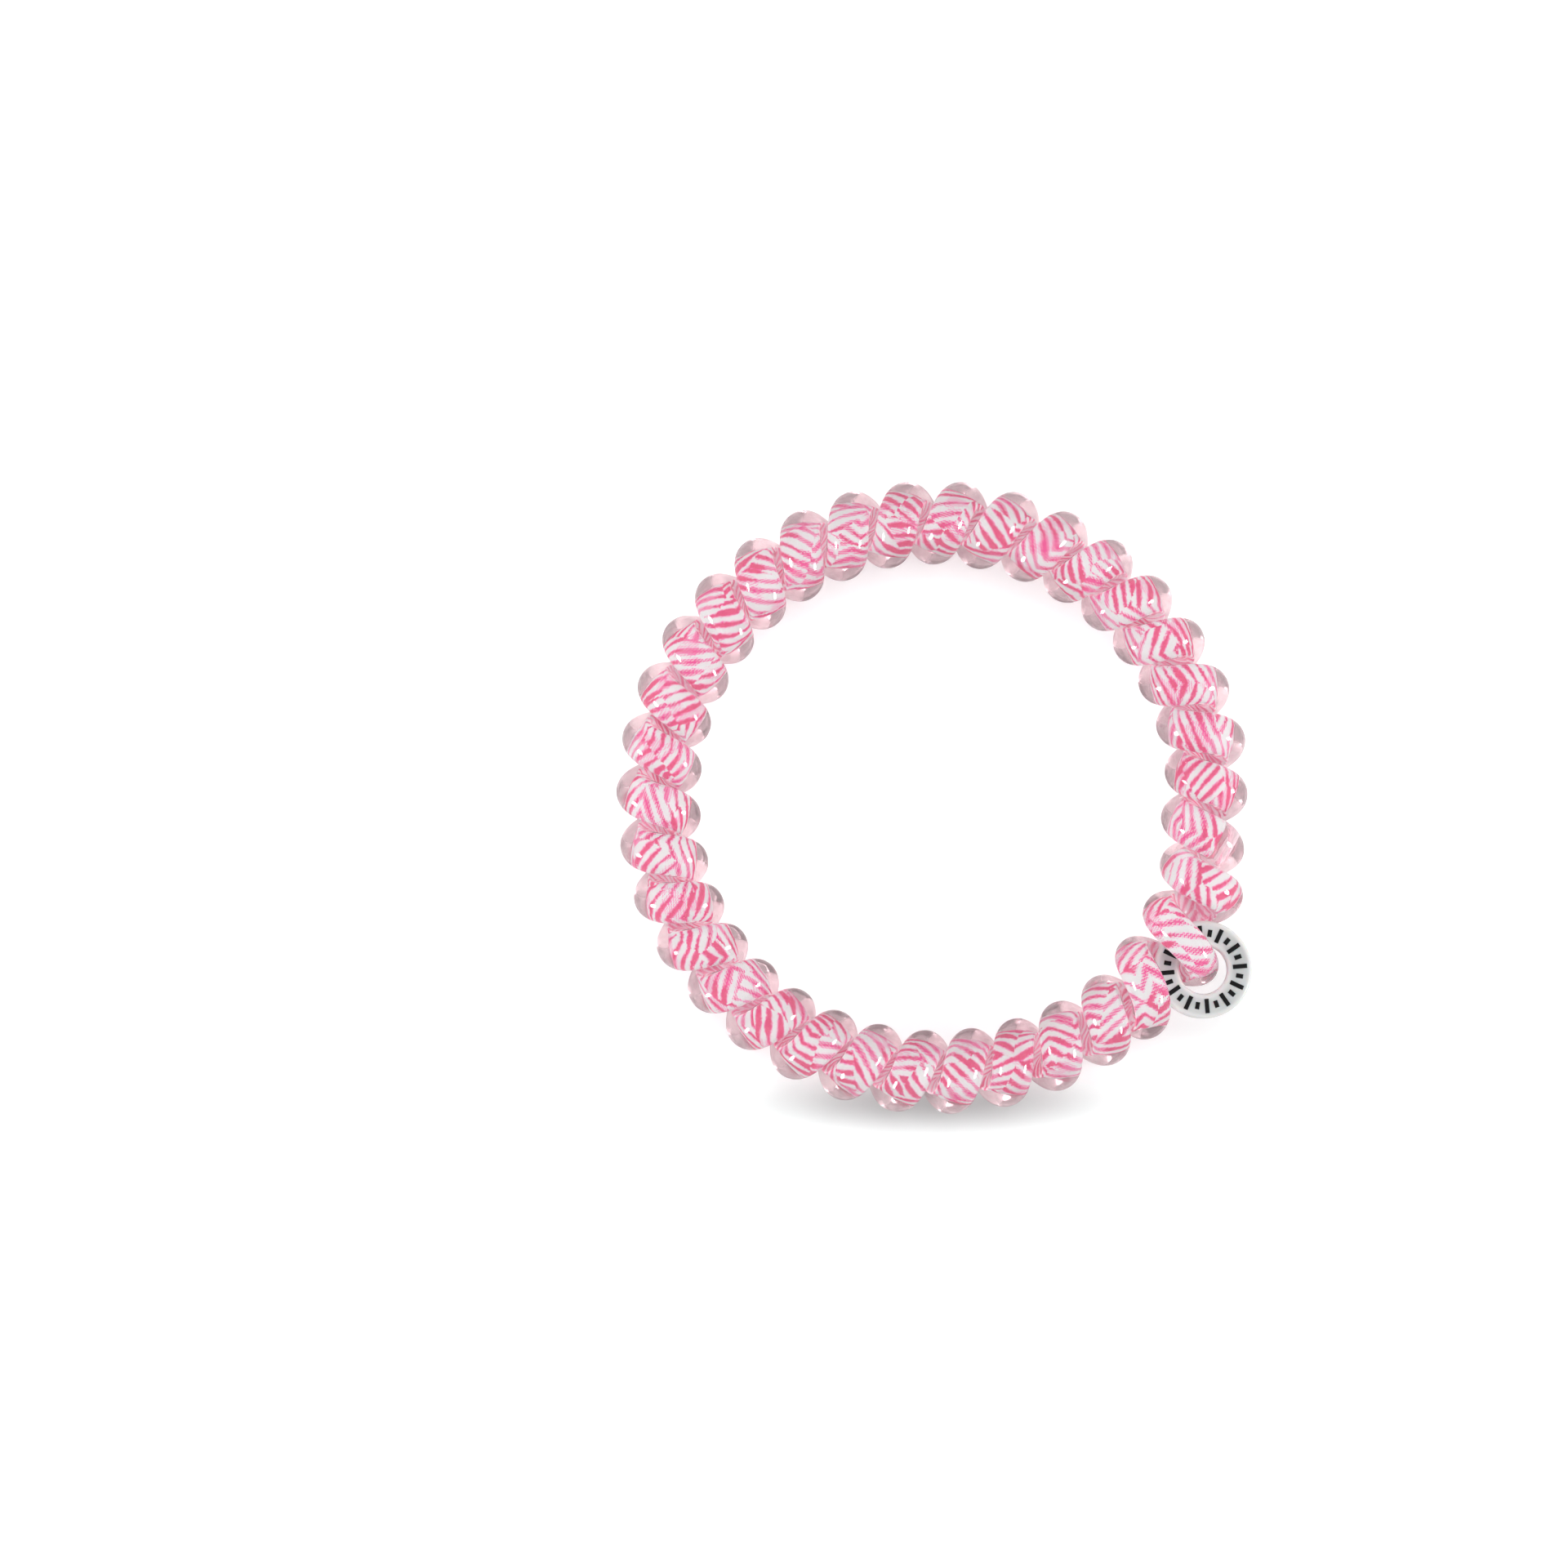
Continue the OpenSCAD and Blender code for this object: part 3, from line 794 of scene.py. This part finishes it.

# %% Finish of the floor
# Painted shadow: a soft grey oval in the floor's colour below the loop.
shadow_y, shadow_half_x, shadow_half_y, shadow_depth = -0.0268, 0.0255, 0.0042, 0.58
# Painted light: to the camera the floor's paint is faintly cyan, against the pink light from the
# tie, and it glows a little.
CAMERA_PAINT, CAMERA_GLOW = (0.93, 0.98, 0.97, 1), 0.22
MOTTLES_PER_M, SHADED_MOTTLE, PALE_MOTTLE = 420.0, (0.63, 0.56, 0.58, 1), (1.0, 0.975, 0.965, 1)
white_floor, tree, shader = new_material(
    "white_floor", Roughness=0.9, Specular_IOR_Level=0.0)
seen = put(tree, "ShaderNodeLightPath", out=CAMERA_RAY)
place = put(tree, "ShaderNodeTexCoord", out=OBJECT)
from_middle = put(tree, "ShaderNodeVectorMath", place, (0.0, -shadow_y, 0.0), operation="ADD")
in_halves = put(tree, "ShaderNodeVectorMath", from_middle,
                (1 / shadow_half_x, 1 / shadow_half_y, 0.0), operation="MULTIPLY")
outwards = put(tree, "ShaderNodeVectorMath", in_halves, operation="LENGTH", out=1)
shade = ramp(tree, outwards, 1.0, 0.0, 0.0, shadow_depth)
# Painted shade: to bent rays the floor is darker and mottled, as the shaded floor under the coil
# would be.
patchy = put(tree, "ShaderNodeTexNoise", place, None, MOTTLES_PER_M, 2.0)
bent_painted_shade = blend(tree, ramp(tree, patchy, 0.36, 0.62), SHADED_MOTTLE, PALE_MOTTLE)
paint = blend(tree, seen, bent_painted_shade, CAMERA_PAINT)
tree.links.new(blend(tree, shade, paint, (0.0, 0.0, 0.0, 1)), shader.inputs["Base Color"])
shader.inputs["Emission Color"].default_value = (1, 1, 1, 1)
# Painted light: the floor glows a little to camera rays, less inside the painted shadow.
glow = sums(tree, "MULTIPLY", sums(tree, "SUBTRACT", 1.0, shade), CAMERA_GLOW)
tree.links.new(sums(tree, "MULTIPLY", seen, glow), shader.inputs["Emission Strength"])
floor_mesh.materials.append(white_floor)

# %% [markdown]
# ### Lamps and sky
# Each lamp is placed by its compass direction, its height in degrees and its distance. The sky
# sheds a plain white light. Mirrored and bent rays see another sky, uneven, darker near the
# horizon and a little darker right above, because clear plastic shows its shape only when the
# surroundings aren't the same all round.


# %% Lamps
def soft_lamp(name, azimuth, elevation, distance, width, height, brightness):
    """An oval lamp that faces the tie. Its power is its brightness times pi times its area."""
    lamp_data = bpy.data.lights.new(name, "AREA")
    lamp_data.shape = "ELLIPSE"
    lamp_data.size, lamp_data.size_y = width, height
    lamp_data.energy = brightness * np.pi * (np.pi / 4 * width * height)
    lamp = bpy.data.objects.new(name, lamp_data)
    az, el = np.radians(azimuth), np.radians(elevation)
    towards = np.array([np.cos(el) * np.cos(az), np.cos(el) * np.sin(az), np.sin(el)])
    lamp.location = towards * distance
    lamp.rotation_euler = (np.pi / 2 - el, 0, az + np.pi / 2)
    bpy.context.collection.objects.link(lamp)
    print(f"{name}: {lamp_data.energy:.2f} W")
    return lamp


soft_lamp("lamp_right", azimuth=-16, elevation=17, distance=0.6,
          width=0.17, height=0.16, brightness=28)
soft_lamp("lamp_left", azimuth=196, elevation=17, distance=0.6,
          width=0.17, height=0.16, brightness=28)
lamp_top = soft_lamp("lamp_top", azimuth=90, elevation=54, distance=0.9,
                     width=1.0, height=0.6, brightness=2.5)
lamp_top.visible_glossy = False

# %% Sky
PLAIN_SKY = 0.54
world = bpy.data.worlds.new("studio")
bpy.context.scene.world = world
world.use_nodes = True
world.node_tree.nodes["Background"].inputs["Color"].default_value = (1, 1, 1, 1)
tree = world.node_tree
spread_light = put(tree, "ShaderNodeLightPath", out=DIFFUSE_RAY)
towards = put(tree, "ShaderNodeTexCoord")
clouds = put(tree, "ShaderNodeTexNoise", towards, None, 2.6, 1.0)
uneven = ramp(tree, clouds, 0.35, 0.65, 0.65, 1.15)
upwards = put(tree, "ShaderNodeSeparateXYZ", towards, out=Z)
dim_low = sums(tree, "MULTIPLY", uneven, ramp(tree, upwards, 0.05, 0.45, 0.68, 1.0))
dim_above = sums(tree, "MULTIPLY", dim_low, ramp(tree, upwards, 0.8, 0.97, 1.0, 0.6))
mirrored = sums(tree, "MULTIPLY", sums(tree, "SUBTRACT", 1.0, spread_light), dim_above)
strength = sums(tree, "MULTIPLY_ADD", spread_light, PLAIN_SKY, mirrored)
tree.links.new(strength, tree.nodes["Background"].inputs["Strength"])
bpy.context.scene.view_settings.view_transform = "Standard"
